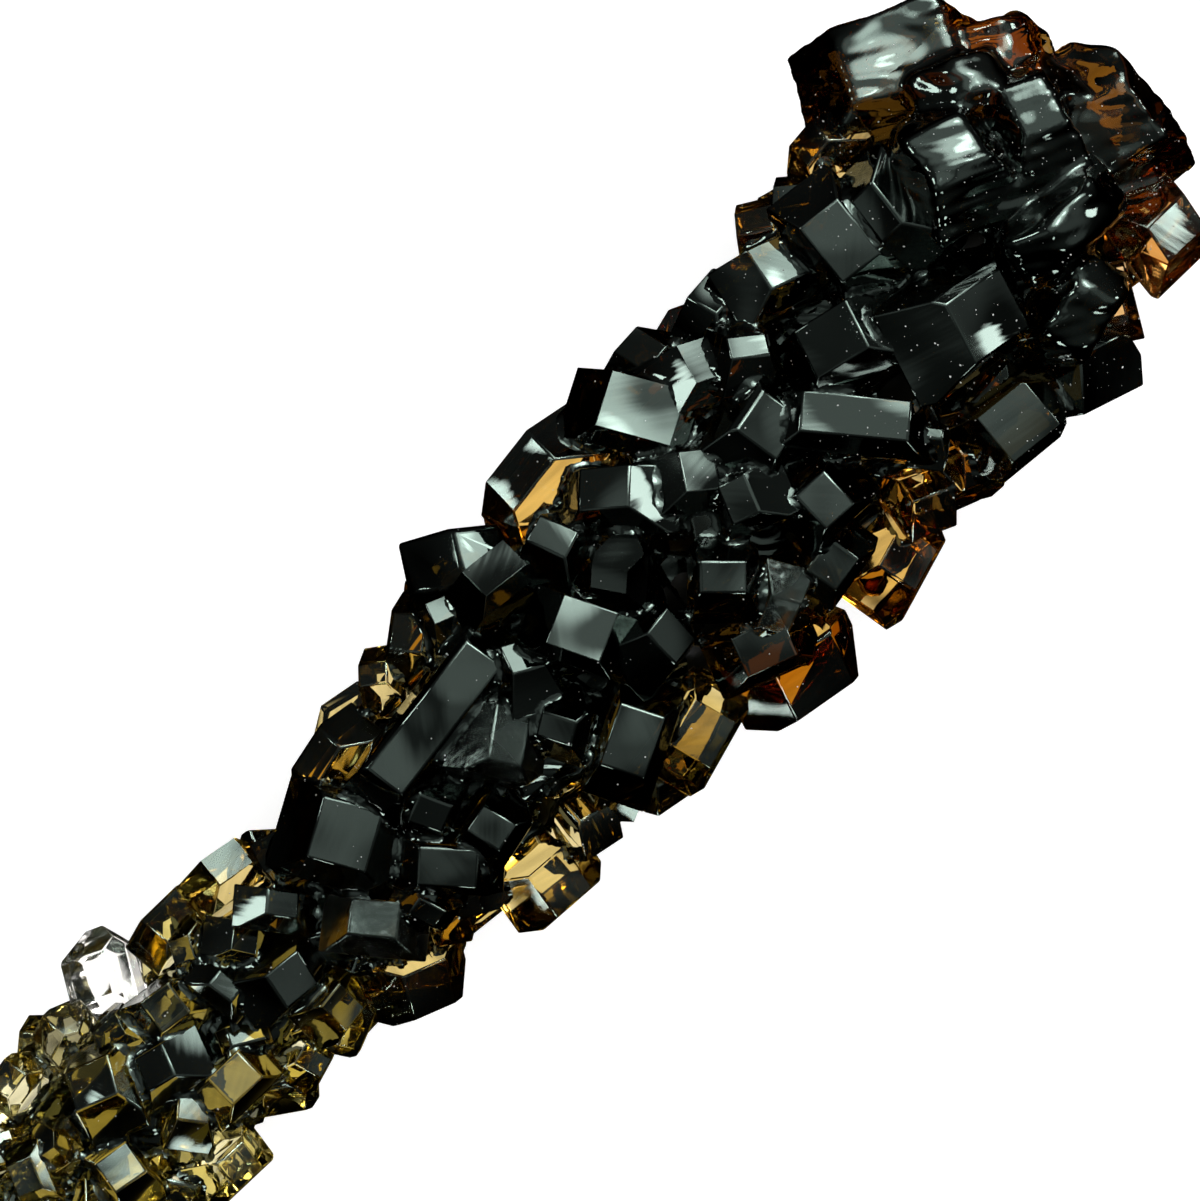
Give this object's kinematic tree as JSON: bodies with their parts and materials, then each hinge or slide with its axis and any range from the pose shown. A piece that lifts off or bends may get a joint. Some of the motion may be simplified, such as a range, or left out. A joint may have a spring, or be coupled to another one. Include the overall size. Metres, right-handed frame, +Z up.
{
  "type": "rock candy stick",
  "caption": "Sugar crystal stick: clear dark amber rock sugar crystals grown in a tapering heap round the end of a plain wooden dowel, lying on its side.",
  "frame": {"origin": "centre of the bounding box at the floor on which the candy lies", "axes": "+X along the stick from the bare end toward the melted tip of the crystals, +Y across the stick toward the widest crystal, +Z up from the floor"},
  "size_m": [0.165, 0.0264, 0.0226],
  "materials": {
    "sugar": "glassy dark amber brown sugar crystal, flat bright faces, melted and rounded at the tip",
    "wood": "bare pale birch dowel, sanded, unvarnished"
  },
  "bodies": {
    "root": {"candy": "sugar", "stick": "wood"}
  },
  "joints": []
}
